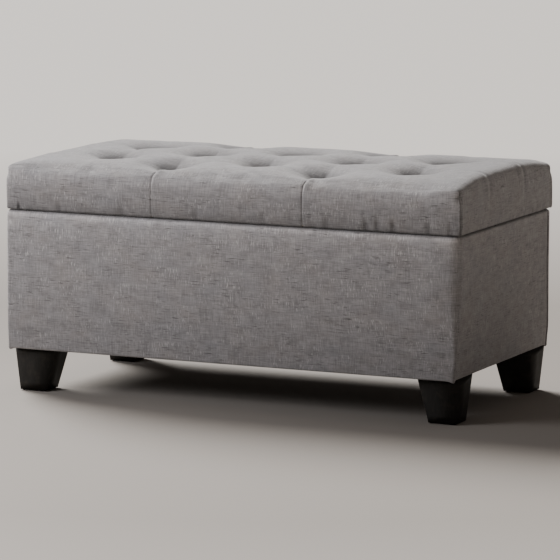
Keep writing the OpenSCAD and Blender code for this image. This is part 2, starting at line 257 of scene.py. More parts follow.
def close_holes(obj):
    """Fills the open ends of a mesh and turns its faces outwards."""
    mesh = bmesh.new()
    mesh.from_mesh(obj.data)
    bmesh.ops.holes_fill(mesh, edges=[e for e in mesh.edges if e.is_boundary], sides=0)
    bmesh.ops.recalc_face_normals(mesh, faces=mesh.faces)
    mesh.to_mesh(obj.data)
    mesh.free()


def finish_piece(obj, key, body, replaced):
    """Gives a made piece its finish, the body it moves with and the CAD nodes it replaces."""
    obj.data.materials.append(MATERIALS[key])
    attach(obj, body)
    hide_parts(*replaced)


# ---------------------------------------------------------------- lid

LID_X, LID_Y = 438.2, 229.0
LID_LOW, LID_HIGH = 333.6, 414.0
FRONT_EDGE, SIDE_EDGE = 27.0, 12.0
EDGE_FADE = 95.0
HEM_EDGE, HEM_IN = 2.6, 32.0
LID_CORNER = 9.0
SLIDE = 60.0
CROWN, LEFT_CROWN, RIGHT_CROWN = 13.6, 4.0, 13.8
WELL_LOW, WELL_FLAT, WELL_WIDE = 401.0, 7.0, 26.5
TUFT_X, TUFT_Y = 874.0 / 3, 458.0 / 6
TUFTS = [(side * TUFT_X / 2, row * TUFT_Y) for row in (-2, 0, 2) for side in (-1, 1)]
TUFTS += [(column * TUFT_X, row * TUFT_Y) for row in (-1, 1) for column in (-1, 0, 1)]
TUFT_GAP = (100, 180)
END_CLOTH, BUTTON_CLOTH = 3000, 5000
FOLD_IN = 27.0
SEAM_IN = 5.5
DENT_IN = (4, 6)
DENT_Z = LID_HIGH - 15


def round_corner(x, y, half_x, half_y, radius):
    """Bends a square-cornered outline round a corner of the given radius."""
    du = np.abs(x) - (half_x - radius)
    dv = np.abs(y) - (half_y - radius)
    inside = (du > 0) & (dv > 0)
    scale = np.where(inside, np.maximum(du, dv) / np.maximum(np.hypot(du, dv), 1e-6), 1.0)
    nx = np.where(inside, np.sign(x) * (half_x - radius + du * scale), x)
    ny = np.where(inside, np.sign(y) * (half_y - radius + dv * scale), y)
    return nx, ny


def round_edge(inset, depth, radius):
    """Takes a square edge, by distances from its two faces, round a curve of the given radius."""
    near = (inset < radius) & (depth < radius)
    a, b = 1 - inset / radius, 1 - depth / radius
    scale = np.maximum(a, b) / np.maximum(np.hypot(a, b), 1e-6)
    new_inset = np.where(near, radius * (1 - a * scale), inset)
    return new_inset, np.where(near, radius * (1 - b * scale), depth)


def slide(value, half, inset, new_inset):
    """Moves a place along an edge so that a row that ended at one inset ends at another."""
    plain = np.minimum(np.abs(value), half - SLIDE)
    over = np.clip(np.abs(value) - (half - SLIDE), 0, None)
    return np.sign(value) * (plain + over * (SLIDE - new_inset) / (SLIDE - inset))


def soften_box(x, y, z, inset):
    """Rounds the top edge, the hem edge and the upright corners of a square-edged cushion."""
    from_x, from_y = LID_X - np.abs(x), LID_Y - np.abs(y)
    by_side = from_x < from_y
    radius = SIDE_EDGE + (FRONT_EDGE - SIDE_EDGE) * np.where(by_side, 0.0, ramp(from_x, 8, EDGE_FADE))
    top_inset, depth = round_edge(inset, LID_HIGH - z, radius)
    low_inset, height = round_edge(inset, z - LID_LOW, np.full_like(z, HEM_EDGE))
    low = z - LID_LOW < HEM_EDGE
    new_inset = np.where(low, low_inset, top_inset)
    new_z = np.where(low, LID_LOW + height, LID_HIGH - depth)
    new_x = np.where(by_side, np.sign(x) * (LID_X - new_inset), slide(x, LID_X, inset, new_inset))
    new_y = np.where(by_side, slide(y, LID_Y, inset, new_inset), np.sign(y) * (LID_Y - new_inset))
    corner = np.maximum(LID_CORNER - new_inset, 0.3)
    new_x, new_y = round_corner(new_x, new_y, LID_X - new_inset, LID_Y - new_inset, corner)
    return np.stack([new_x, new_y, new_z], -1)


def lid_shape(fine, coarse, rise, pleat_step=None):
    """The cushion cover before tufting, as welded grids: top, four sides and the cloth turned under."""
    columns = [k * TUFT_X / 2 for k in range(-2, 3)]
    lines = [k * TUFT_Y for k in range(-2, 3)]
    xs = graded(-LID_X, LID_X, [-LID_X, LID_X] + columns, fine, coarse, 22, 40)
    ys = graded(-LID_Y, LID_Y, [-LID_Y, LID_Y] + lines, fine, coarse, 22, 40)
    if pleat_step:
        xs = crowd(xs, (-TUFT_X / 2, TUFT_X / 2), 7, pleat_step)
        xs = crowd(xs, (FOLD_IN - LID_X,), 5, 1.2)
        ys = crowd(ys, (SEAM_IN - LID_Y, LID_Y - SEAM_IN), 4, 1.0)
    zs = graded(LID_LOW, LID_HIGH, [LID_LOW], 1.0, rise, 3, 10)[::-1]
    hem = np.array([1.0, 2.0, 3.2, 6, 12, 21, HEM_IN])
    insets = np.concatenate([np.zeros(len(zs)), hem])
    levels = np.concatenate([zs, np.full(len(hem), LID_LOW)])
    run = run_of(np.column_stack([insets, levels]))
    work = Patchwork()
    x, y = np.meshgrid(xs, ys)
    inset = np.minimum(LID_X - np.abs(x), LID_Y - np.abs(y))
    work.add(soften_box(x, y, np.full_like(x, LID_HIGH), inset), np.stack([x, y], -1))
    faces = ((xs, LID_X, LID_Y, False), (ys, LID_Y, LID_X, True))
    for sign in (-1, 1):
        for steps, along, out, is_end in faces:
            u = steps[None, :] * (1 - insets / along)[:, None]
            v = np.broadcast_to((sign * (out - insets))[:, None], u.shape)
            wide, z = (np.broadcast_to(values[:, None], u.shape) for values in (insets, levels))
            uv = np.stack(np.meshgrid(steps, sign * (out + run) + END_CLOTH * is_end), -1)
            x, y = (v, u) if is_end else (u, v)
            work.add(soften_box(x, y, z, wide), uv, flip=(sign > 0) == is_end)
    return work.weld()


def tuft_line(x, y, a, b, depth, width):
    """A valley between two tufts, deepest at its ends."""
    a, b = np.array(a), np.array(b)
    way = b - a
    long = np.linalg.norm(way)
    along = ((x - a[0]) * way[0] + (y - a[1]) * way[1]) / long
    across = ((x - a[0]) * way[1] - (y - a[1]) * way[0]) / long
    t = np.clip(along / long, 0, 1)
    ends = ramp(along, -10, 10) * (1 - ramp(along, long - 10, long + 10))
    return depth * ends * (1.0 - 0.62 * np.sin(math.pi * t) ** 0.8) * bell(across, width)


def beside(a, b):
    """Whether a valley joins two tufts."""
    return TUFT_GAP[0] < math.hypot(a[0] - b[0], a[1] - b[1]) < TUFT_GAP[1]


def neighbours(tuft):
    """Directions from a tuft to the tufts beside it, and out over the edge where it has none."""
    found = []
    for other in TUFTS:
        if beside(tuft, other):
            found.append(math.atan2(other[1] - tuft[1], other[0] - tuft[0]))
    if abs(tuft[1]) > 1.5 * TUFT_Y:
        found.append(math.atan2(tuft[1], 0))
    if abs(tuft[0]) > 0.9 * TUFT_X:
        found.append(math.atan2(0, tuft[0]))
    return found


GATHERS = 11


def radial_folds(x, y, tuft, rng):
    """Gathers that run out of a tuft: long ones towards its neighbours, short ones between."""
    dx, dy = x - tuft[0], y - tuft[1]
    r, angle = np.hypot(dx, dy), np.arctan2(dy, dx)
    folds = [(at, 0.20, 1.0, 34.0) for at in neighbours(tuft)]
    for at in np.arange(GATHERS) * 2 * math.pi / GATHERS:
        folds.append((at + rng.uniform(-0.2, 0.2), rng.uniform(0.10, 0.19),
                      rng.uniform(0.35, 0.9), rng.uniform(15, 25)))
    total = np.zeros_like(x)
    for at, wide, deep, reach in folds:
        gap = np.angle(np.exp(1j * (angle - at)))
        total += deep * bell(gap, wide) * bell(r, reach)
    return total * ramp(r, 6, 12)


VALLEY_DEEP, VALLEY_WIDE = 1.4, 13.0
CREASE_DEEP, CREASE_WIDE = 0.5, 3.0
GATHER_DEEP = 2.6


def pull_tufts(work, folds=True):
    """Crowns the top and draws it down at every tuft, with valleys between and gathers around."""
    x, y, z = work.v.T.copy()
    top = ramp(z, LID_HIGH - 24, LID_HIGH - 2)
    u, v = np.abs(x) / LID_X, np.abs(y) / LID_Y
    end = np.where(x > 0, RIGHT_CROWN, LEFT_CROWN)
    surface = z + top * (1 - v ** 2.6) * (CROWN * (1 - u ** 4) + end * u ** 4)
    for i, a in enumerate(TUFTS):
        for b in TUFTS[i + 1:]:
            if beside(a, b):
                surface -= top * tuft_line(x, y, a, b, VALLEY_DEEP, VALLEY_WIDE)
                if folds:
                    surface -= top * tuft_line(x, y, a, b, CREASE_DEEP, CREASE_WIDE)
    rng = np.random.default_rng(11)
    for tuft in TUFTS:
        r = np.hypot(x - tuft[0], y - tuft[1])
        share = np.exp(-(np.clip(r - WELL_FLAT, 0, None) / WELL_WIDE) ** 1.35)
        surface = surface + top * share * (WELL_LOW - surface)
        if folds:
            surface -= top * GATHER_DEEP * radial_folds(x, y, tuft, rng)
    work.v[:, 2] = surface


PLEAT_DEEP, PLEAT_SLOPE, PLEAT_FLAP = 3.4, 1.9, 1.5
END_LINE_DEEP, END_LINE_FLAP = 1.7, 1.0


def pleat_edges(work):
    """Pleats from the outer tufts over the front and back edges, and soft ones down the ends."""
    n = work.normals()
    x, y, z = work.v.T.copy()
    rise = ramp(z, LID_LOW, LID_HIGH - 12)
    for sign in (-1, 1):
        for column in (-TUFT_X / 2, TUFT_X / 2):
            d = (x - column) * -sign
            start = ramp(sign * y, 2 * TUFT_Y + 9, 2 * TUFT_Y + 26)
            groove = np.where(d < 0, np.exp(np.minimum(d, 0) / 1.5), np.exp(-np.maximum(d, 0) / 0.9))
            slope = np.where(d < 0, np.exp(np.minimum(d, 0) / 13.0), 0)
            flap = np.where(d > 0, bell(d - 6, 7.0), 0)
            push = -PLEAT_DEEP * (0.55 + 0.45 * rise) * groove
            push += rise * (PLEAT_FLAP * flap - PLEAT_SLOPE * slope)
            work.v += (start * push)[:, None] * n * (0.15, 1, 1)
    for sign in (-1, 1):
        for line in (-TUFT_Y, TUFT_Y):
            d = y - line - 8 * np.sign(line)
            start = ramp(sign * x, TUFT_X + 40, LID_X - 4)
            push = END_LINE_FLAP * bell(d + 15, 11.0) - END_LINE_DEEP * bell(d, 7.5)
            work.v += (start * rise * push)[:, None] * n


BOARD_TOP = 352.0
END_SWELL, FACE_SWELL = 1.6, 5.4
FLANGE_OUT, FLANGE_BACK, SEAM_DEEP = 1.7, 1.5, 6.0
FOLD_OUT, FOLD_DEEP = 1.8, 3.6
PUCKER_DEEP, DENT_DEEP = 3.4, 4.4
PUCKERS = (-330.0, -205.0, -60.0, 70.0, 190.0, 265.0, 286.0, 316.0, 381.0, 421.0)


def swell_sides(work):
    """Soft swelling of the upright faces, puckers along the hem and the folds at the corners."""
    n = work.normals()
    x, y, z = work.v.T.copy()
    upright = 1 - ramp(np.abs(n[:, 2]), 0.55, 0.95)
    rise = np.clip((z - LID_LOW) / (LID_HIGH - LID_LOW), 0, 1)
    height = np.clip(z - LID_LOW, 0, None)
    end_swell = np.where(x > 0, END_SWELL, 0.0) * np.sin(math.pi * rise ** 0.55)
    end_swell *= ramp(np.abs(n[:, 0]), 0.3, 0.9)
    face_swell = FACE_SWELL * ramp(LID_X - np.abs(x), 2, 45) * ramp(np.abs(n[:, 1]), 0.3, 0.9)
    face_swell *= (1 - np.exp(-height / 18.0)) * (1 - 0.5 * ramp(height, 38, 95))
    push = (end_swell + face_swell) * upright
    push += 0.55 * waves(work.v, 3, 130.0) * upright * ramp(rise, 0.05, 0.3)
    hem = bell(z - (LID_LOW + 5), 10.0) * upright
    gather = waves(work.v * (1, 1, 0.12), 5, 30.0, 2)
    push += 1.0 * np.clip(gather, -0.6, 1.2) * hem
    push += 0.35 * waves(work.v * (1, 1, 0.1), 9, 13.0, 1) * bell(z - (LID_LOW + 3), 6.0) * upright
    on_end = ramp(np.abs(n[:, 0]), 0.6, 0.95)
    on_front = ramp(np.abs(n[:, 1]), 0.6, 0.95)
    below = 1 - ramp(z, LID_HIGH - 24, LID_HIGH - 9)
    from_x, from_y = LID_X - np.abs(x), LID_Y - np.abs(y)
    flange = on_end * below * np.where(x > 0, 1.0, 0.4)
    push += FLANGE_OUT * flange * (1 - ramp(from_y, SEAM_IN - 1.9, SEAM_IN - 0.3))
    push += FLANGE_BACK * flange * bell(from_y - (SEAM_IN + 5), 3.4)
    push -= SEAM_DEEP * flange * bell(from_y - (SEAM_IN + 0.7), 1.3)
    fold_line = from_x - FOLD_IN
    low_fold = on_front * (x < 0) * (1 - ramp(z, LID_LOW + 2, LID_LOW + 22))
    push += FOLD_OUT * low_fold * (fold_line < 0) * np.exp(np.minimum(fold_line, 0) / 9.0)
    push -= FOLD_DEEP * low_fold * bell(fold_line - 1.6, 1.9)
    for place in PUCKERS:
        d = x - place
        pucker = np.where(d < 0, bell(d, 2.2), bell(d, 7.5))
        push -= PUCKER_DEEP * pucker * on_front * (1 - ramp(z, LID_LOW + 7, LID_LOW + 34))
    from_dent = np.hypot(from_x - DENT_IN[0], from_y - DENT_IN[1])
    push -= DENT_DEEP * bell(from_dent, 6.5) * bell(z - DENT_Z, 8.0)
    push = np.where(z < BOARD_TOP, np.maximum(push, -0.15), push)
    work.v += push[:, None] * n


CLOTH_STEPS = 20
CLOTH_CAP = 6.0
CLOTH_LOFT = 0.4


def cloth_swell(work, held, cap):
    """Blows a grid up as cloth, held by the given weights, and gives how far each point moved."""
    obj = new_mesh("cloth_pass", work.v * MM, work.f)
    group = obj.vertex_groups.new(name="held")
    levels = np.round(held * 10).astype(int)
    for level in range(1, 11):
        chosen = np.flatnonzero(levels == level)
        group.add([int(i) for i in chosen], level / 10, "REPLACE")
    cloth = obj.modifiers.new("swell", "CLOTH")
    settings = cloth.settings
    settings.quality = 6
    settings.mass = 0.3
    settings.tension_stiffness = settings.compression_stiffness = 12
    settings.shear_stiffness = 3
    settings.bending_stiffness = 0.25
    settings.tension_damping = settings.compression_damping = settings.shear_damping = 8
    settings.use_pressure = True
    settings.uniform_pressure_force = 4
    settings.shrink_min = -0.010
    settings.vertex_group_mass = "held"
    settings.effector_weights.gravity = 0
    cloth.collision_settings.use_collision = False
    cloth.point_cache.frame_start, cloth.point_cache.frame_end = 1, CLOTH_STEPS
    for step in range(1, CLOTH_STEPS + 1):
        bpy.context.scene.frame_set(step)
    shape = obj.evaluated_get(bpy.context.evaluated_depsgraph_get()).data
    end = np.zeros(len(work.v) * 3)
    shape.vertices.foreach_get("co", end)
    moved = end.reshape(-1, 3) / MM - work.v
    far = np.linalg.norm(moved, axis=1, keepdims=True)
    moved *= np.minimum(far, cap) / np.maximum(far, 1e-6)
    bpy.context.scene.frame_set(1)
    bpy.data.objects.remove(obj)
    return moved


def carry(source, moved, target, reach):
    """The same movement for another grid, from the nearest points of the first."""
    tree = KDTree(len(source))
    for i, point in enumerate(source):
        tree.insert(point, i)
    tree.balance()
    out = np.zeros_like(target)
    for i, point in enumerate(target):
        near = tree.find_n(point, 7)
        weight = np.array([math.exp(-((item[2] / reach) ** 2)) for item in near]) + 1e-9
        out[i] = weight @ moved[[item[1] for item in near]] / weight.sum()
    return out


def lid_hold(v):
    """How firmly each point of the cushion is held: by its tufts and by the board behind its sides."""
    low = 1 - ramp(v[:, 2], LID_HIGH - 26, LID_HIGH - 4)
    held = low
    for tuft in TUFTS:
        r = np.hypot(v[:, 0] - tuft[0], v[:, 1] - tuft[1])
        held = np.maximum(held, 1 - ramp(r, 8, 13))
    return held


def away_from_tufts(v, start, end):
    """0 at every tuft, rising to 1 between the two given distances from the nearest one."""
    nearest = np.min([np.hypot(v[:, 0] - tuft[0], v[:, 1] - tuft[1]) for tuft in TUFTS], axis=0)
    return ramp(nearest, start, end)


# Shares of painted shade by which the cloth is darker than its plain colour, or of painted highlight by
# which it is paler at the rolls and below the rim.
WELL_SHADE, FAR_SIDE_SHADE, FAR_ROW_SHADE = 0.22, 0.72, 0.45
HEM_SHADE, ROLL_HIGHLIGHT, GAP_SHADE, RIGHT_SHADE = 0.46, 0.46, 0.40, 0.22
FOLD_SHADE, SEAM_SHADE, DENT_SHADE, DARKEST = 0.45, 0.55, 0.45, -0.82
RIGHT_PUCKER_SHADE, PUCKER_SHADE = 0.21, 0.13


def lid_shade(work):
    """How much painted shade makes the cloth darker down the tufts and at the hem, and painted highlight
    paler where it turns to the top.
    """
    x, y, z = work.v.T
    n = work.normals()
    upright = 1 - ramp(np.abs(n[:, 2]), 0.75, 1.0)
    long_face = ramp(np.abs(n[:, 1]), 0.3, 0.9)
    shade = np.zeros_like(x)
    for tuft in TUFTS:
        behind = ramp(y - tuft[1], -16, 14)
        r = np.hypot(x - tuft[0], y - tuft[1])
        far = ramp(tuft[1], -TUFT_Y, TUFT_Y)
        shade -= WELL_SHADE * bell(r, 28.0)
        shade -= (FAR_SIDE_SHADE + FAR_ROW_SHADE * far) * behind * bell(r, 37.0 + 9.0 * far)
    shade *= ramp(z, LID_HIGH - 40, LID_HIGH - 20)
    shade -= RIGHT_SHADE * ramp(x, 160, 400) * (1 - upright)
    shade -= GAP_SHADE * (1 - ramp(z, LID_LOW + 0.5, LID_LOW + 3.5))
    hem = (HEM_SHADE - 0.06 * x / LID_X) * np.exp(-(z - LID_LOW) / 20.0)
    shade -= hem * upright * (0.3 + 0.7 * long_face)
    shade += ROLL_HIGHLIGHT * bell(z - (LID_HIGH - 6), 22.0) * upright * long_face
    low = 1 - ramp(z, LID_LOW + 7, LID_LOW + 28)
    for place in PUCKERS:
        tone = RIGHT_PUCKER_SHADE if place > 250 else PUCKER_SHADE
        shade -= tone * bell(x - place, 4.6) * low * long_face
    from_x, from_y = LID_X - np.abs(x), LID_Y - np.abs(y)
    fold = bell(from_x - FOLD_IN, 3.0) * (1 - ramp(z, LID_LOW + 4, LID_LOW + 17))
    shade -= FOLD_SHADE * fold * (x < 0) * long_face
    on_end = ramp(np.abs(n[:, 0]), 0.6, 0.95)
    shade -= SEAM_SHADE * bell(from_y - (SEAM_IN - 0.1), 2.0) * (x > 0) * on_end * upright
    from_dent = np.hypot(from_x - DENT_IN[0], from_y - DENT_IN[1])
    shade -= DENT_SHADE * bell(from_dent, 6.0) * bell(z - DENT_Z, 8.0)
    return np.maximum(shade, DARKEST)


def make_lid():
    """The tufted cover: shaped, swelled as cloth on a coarser grid, then pleated and thickened."""
    work = lid_shape(fine=2.2, coarse=4.6, rise=2.6, pleat_step=0.8)
    corner = bell(np.hypot(LID_X - np.abs(work.v[:, 0]), LID_Y - np.abs(work.v[:, 1])), 26.0)
    work.relax(0.5 * corner * ramp(work.v[:, 2], LID_LOW + 8, LID_LOW + 30), 6)
    pull_tufts(work)
    rough = lid_shape(fine=5.5, coarse=6.5, rise=6.5)
    pull_tufts(rough)
    moved = cloth_swell(rough, lid_hold(rough.v), CLOTH_CAP)
    moved = rough.averaged(moved - (1 - CLOTH_LOFT) * rough.averaged(moved, 30), 3)
    free = away_from_tufts(work.v, 14, 55)
    work.v += free[:, None] * carry(rough.v, moved, work.v, reach=6.0)
    swell_sides(work)
    pleat_edges(work)
    cover = work.build("lid_cover_linen", lid_shade(work))
    thicken(cover, CLOTH_T)
    finish_piece(cover, "linen", "lid", ["lid_cover"])
    make_lid_foam()


FOAM_GAP, FOAM_LOW = 9.0, 350.3


def make_lid_foam():
    """The cushion's foam: the tufted shape drawn in, with a flat base on the board."""
    foam = lid_shape(fine=7.0, coarse=9.0, rise=7.0)
    pull_tufts(foam, folds=False)
    foam.v -= FOAM_GAP * foam.normals()
    foam.v[:, 2] = np.maximum(foam.v[:, 2], FOAM_LOW)
    block = foam.build("lid_foam_block")
    finish_piece(block, "foam", "lid", ["lid_foam"])


# ---------------------------------------------------------------- body cloth

HALF_X, HALF_Y = 437.0, 229.0
BODY_LOW, BODY_HIGH = 82.0, 330.0
WALL = 19.0
RIM_EDGE, FOOT_EDGE = 4.6, 3.0
RIM_CROWN = 2.9
TUCK = 17.0
UNDERLAP = 3.5
SEAM_DEPTH = 0.75
TAPER = (105, 240)
FOOT_TAPER = (BODY_LOW, 125)
FOOT_RADIUS = 3.5
RIGHT_RADIUS, LEFT_RADIUS = 18.0, 10.5
MID_Z = (BODY_LOW + BODY_HIGH) / 2
MEASURE_Z = 250.0


def corner_radius(z, sign):
    """Radius in plan of the corners of the right (1) or left (-1) end: sharp at the foot, round above."""
    upper = RIGHT_RADIUS if sign > 0 else LEFT_RADIUS
    return FOOT_RADIUS + (upper - FOOT_RADIUS) * ramp(z, *TAPER)


def seam_back(z, sign):
    """How far back on the end face the front cloth stops, which is its seam with the end cloth."""
    return corner_radius(z, sign) + 1.0


def pull_in(z, sign):
    """How much the end walls draw in towards the foot."""
    slow, quick = (3.5, 2.6) if sign > 0 else (3.2, 1.6)
    return slow * (1 - ramp(z, *TAPER)) + quick * (1 - ramp(z, *FOOT_TAPER))


def wall_rows(step):
    """(inset, height) down the wall section: rim fold, rim, face, foot edge and the tucked cloth."""
    rows = [(WALL + 0.1, BODY_HIGH - 3.6), (WALL - 0.4, BODY_HIGH - 1.0), (WALL - 1.4, BODY_HIGH - 0.1)]
    rows += [(inset, BODY_HIGH) for inset in np.linspace(WALL - 4, RIM_EDGE, 8)]
    for a in np.linspace(0, math.pi / 2, 7)[1:]:
        rows.append((RIM_EDGE * (1 - math.sin(a)), BODY_HIGH - RIM_EDGE * (1 - math.cos(a))))
    count = round((BODY_HIGH - BODY_LOW - 10) / step)
    rows += [(0.0, z) for z in np.linspace(BODY_HIGH - RIM_EDGE, BODY_LOW + FOOT_EDGE, count)[1:]]
    for a in np.linspace(0, math.pi / 2, 5)[1:]:
        rows.append((FOOT_EDGE * (1 - math.cos(a)), BODY_LOW + FOOT_EDGE * (1 - math.sin(a))))
    rows += [(inset, BODY_LOW + 0.2) for inset in np.linspace(6, TUCK, 3)]
    return np.array(rows)


def wrapped_path(inset, z, facing, count):
    """Plan points of a front or back cloth at one height: return, corner, long face, corner, return."""
    turn = np.linspace(0, math.pi / 2, 10)
    parts = []
    for sign in (-1, 1):
        reach = max(corner_radius(z, sign), inset + 0.3)
        back = max(seam_back(z, sign), WALL if inset > RIM_EDGE else 0, inset + 0.6)
        wide = HALF_X - pull_in(z, sign)
        returns = [(sign * (wide - inset - dip), -HALF_Y + back + (reach - back) * k / 3)
                   for k, dip in enumerate((SEAM_DEPTH, 0.0, 0.0))]
        arc = [(sign * (wide - reach + (reach - inset) * math.cos(a)),
                -HALF_Y + reach - (reach - inset) * math.sin(a)) for a in turn]
        parts.append(returns + arc)
    x0, x1 = parts[0][-1][0], parts[1][-1][0]
    long = [(x, -HALF_Y + inset) for x in np.linspace(x0, x1, count)[1:-1]]
    path = np.array(parts[0] + long + parts[1][::-1])
    return path * (1, -facing)


def end_path(inset, z, sign, count):
    """Plan points of an end cloth at one height, running under the front and back cloths."""
    start = seam_back(z, sign) if inset <= RIM_EDGE else WALL
    reach = HALF_Y - start + UNDERLAP
    y = np.linspace(-reach, reach, count)
    under = SEAM_DEPTH * (1 - ramp(HALF_Y - start - np.abs(y), 0.5, 4.5))
    x = np.full(count, HALF_X - pull_in(z, sign) - inset)
    return np.column_stack([sign * x, y]), under


def shape_wall(work, seed):
    """Slight fullness, slow ripples, and puckers along the rim and the foot."""
    n = work.normals()
    from_middle = work.v - (0, 0, MID_Z)
    n *= np.sign(np.median((n * from_middle).sum(1)))  # so that they point outwards on every wall
    z = work.v[:, 2]
    face = 1 - ramp(np.abs(n[:, 2]), 0.4, 0.9)
    rise = np.clip((z - BODY_LOW) / (BODY_HIGH - BODY_LOW), 0, 1)
    from_x, from_y = HALF_X - np.abs(work.v[:, 0]), HALF_Y - np.abs(work.v[:, 1])
    on_long = ramp(np.abs(n[:, 1]), 0.3, 0.9)
    from_corner = ramp(np.hypot(from_x, from_y), 22, 60)
    drop = np.clip(BODY_HIGH - z, 0, None)
    push = 0.9 * np.sin(math.pi * rise) * face * from_corner * (2 * on_long - 1)
    bulge = (1 - np.exp(-drop / 19.0)) * (1 - ramp(drop, 60, 248))
    push += 5.0 * on_long * ramp(from_x, 2, 45) * bulge * face
    push += 0.5 * waves(work.v, seed, 190.0) * face * from_corner
    hem_waves = 0.5 * waves(work.v * (1, 1, 0.15), seed + 1, 34.0, 2) * bell(z - (BODY_LOW + 4), 9.0)
    hem_waves += 0.3 * waves(work.v * (1, 1, 0.15), seed + 2, 24.0, 2) * bell(z - (BODY_HIGH - 7), 7.0)
    push += hem_waves * face * (0.2 + 0.8 * from_corner)
    work.v += np.maximum(push, -0.75)[:, None] * n


def crown_rim(work):
    """The padding stands up along the middle of the rim, except at the back where the hinges lie."""
    x, y, z = work.v.T
    inset = np.minimum(HALF_X - np.abs(x), HALF_Y - np.abs(y))
    across = np.clip((inset - RIM_EDGE) / (WALL - 4 - RIM_EDGE), 0, 1)
    top = ramp(z, BODY_HIGH - 1.5, BODY_HIGH - 0.2) * (1 - ramp(y, HALF_Y - 34, HALF_Y - 20))
    work.v[:, 2] += RIM_CROWN * top * np.sin(math.pi * across)


def corner_points(work):
    """The folded points of cloth that stand a little below the foot at each corner."""
    x, y, z = work.v.T
    near = bell(np.hypot(HALF_X - 5 - np.abs(x), HALF_Y - 3 - np.abs(y)), 7.0)
    work.v[:, 2] -= 3.2 * near * (1 - ramp(z, BODY_LOW + 1, BODY_LOW + 16))


def cloth_grid(rows, path_of):
    """Points and cloth coordinates of a cloth that follows plan paths down the rows of a section."""
    base = run_of(path_of(0.0, MEASURE_Z)[0])
    points, uvs = [], []
    for (inset, z), down in zip(rows, run_of(rows)):
        path, under = path_of(inset, z)
        points.append(np.column_stack([path, np.full(len(path), z)]))
        uvs.append(np.column_stack([base, np.full(len(base), -down)]))
        if inset <= RIM_EDGE:
            points[-1][:, 0] -= np.sign(points[-1][:, 0]) * under
        else:
            points[-1][:, 2] += (1 if z < MID_Z else -1) * under
    return np.array(points), np.array(uvs)


# Shares of painted highlight below the rim and of painted shade towards the foot and on the rim's top in
# the lid gap.
RIM_HIGHLIGHT, RIM_EDGE_HIGHLIGHT, FOOT_SHADE, RIM_TOP_SHADE = 0.58, 0.40, 0.16, 0.80


def body_shade(work):
    """How much painted highlight makes the wall cloth paler below the rim, and painted shade darker towards
    the foot and dark in the lid gap.
    """
    n = work.normals()
    drop = np.clip(BODY_HIGH - work.v[:, 2], 0, None)
    long_face = ramp(np.abs(n[:, 1]), 0.3, 0.9)
    rim = RIM_HIGHLIGHT * np.exp(-drop / 19.0) + RIM_EDGE_HIGHLIGHT * bell(drop - 3, 4.0)
    face = rim * (0.15 + 0.85 * long_face) - FOOT_SHADE * ramp(drop, 90, 248) * long_face
    gap = ramp(work.v[:, 2], BODY_HIGH - 0.6, BODY_HIGH + 0.8)
    return face * (1 - gap) - RIM_TOP_SHADE * gap


def make_wall_cloth(name, rows, path_of, flip, seed, offset_u):
    """One cloth of the box; the flat size of its grid is worked out but not used."""
    points, uvs = cloth_grid(rows, path_of)
    work = Patchwork()
    work.add(points, uvs + (offset_u, 0), flip=flip)
    work.weld()
    shape_wall(work, seed)
    crown_rim(work)
    corner_points(work)
    cover = work.build(name + "_cover_linen", body_shade(work))
    thicken(cover, CLOTH_T)
    finish_piece(cover, "linen", "box", [name + "_cover"])
    length, height = run_of(path_of(0.0, MEASURE_Z)[0])[-1], run_of(rows)[-1]


PAD_OUT, PAD_INNER = 1.6, 6.8
PAD_LOW, PAD_BOARD_TOP = 84.2, 326.2


def padding_rows():
    """Closed section of the foam between cloth and board, folded over the top of the board."""
    top = BODY_HIGH - PAD_OUT
    rows = [(PAD_OUT, z) for z in np.linspace(PAD_LOW, top - RIM_EDGE, 14)]
    for a in np.linspace(0, math.pi / 2, 5)[1:]:
        rows.append((PAD_OUT + RIM_EDGE * (1 - math.cos(a)), top - RIM_EDGE * (1 - math.sin(a))))
    rows += [(WALL - 0.4, top), (WALL - 0.4, PAD_BOARD_TOP), (PAD_INNER, PAD_BOARD_TOP)]
    rows += [(PAD_INNER, z) for z in np.linspace(PAD_BOARD_TOP, PAD_LOW, 9)[1:]]
    rows.append(rows[0])
    return np.array(rows)


def make_padding(name, path_of, flip):
    """The foam under one wall cloth."""
    points, uvs = cloth_grid(padding_rows(), path_of)
    work = Patchwork()
    work.add(points, uvs, flip=flip)
    work.weld()
    pad = work.build(name + "_padding_foam")
    close_holes(pad)
    finish_piece(pad, "foam", "box", [name + "_padding"])


def wrapped_cloth(facing, count):
    """The plan paths of the front (-1) or back (1) cloth, which wraps round two corners."""
    def path_of(inset, z):
        path = wrapped_path(inset, z, facing, count)
        return path, np.zeros(len(path))
    return path_of


def end_cloth(sign, count):
    """The plan paths of the right (1) or left (-1) cloth, which runs under the other two."""
    def path_of(inset, z):
        return end_path(inset, z, sign, count)
    return path_of


def end_padding(sign, count):
    """The plan paths of the foam on the right (1) or left (-1) wall, which ends inside the corners."""
    reach = HALF_Y - WALL - PAD_OUT

    def path_of(inset, z):
        drawn = pull_in(z, sign) if inset < 6 else 0.0
        x = np.full(count, sign * (HALF_X - drawn - inset))
        return np.column_stack([x, np.linspace(-reach, reach, count)]), np.zeros(count)
    return path_of


def make_body():
    rows = wall_rows(5.0)
    for name, facing, seed in (("front", -1, 30), ("back", 1, 20)):
        make_padding(name, wrapped_cloth(facing, 60), flip=facing > 0)
        make_wall_cloth(name, rows, wrapped_cloth(facing, 172), facing > 0, seed, seed * 40)
    for name, sign, seed in (("left", -1, 40), ("right", 1, 50)):
        make_padding(name, end_padding(sign, 30), flip=sign > 0)
        make_wall_cloth(name, rows, end_cloth(sign, 92), sign > 0, seed, seed * 40)


# ---------------------------------------------------------------- linings

SHEET_T = 0.45
SHEET_STEP = 9
RIPPLE = 0.22
POST_NOTCH = 25.0


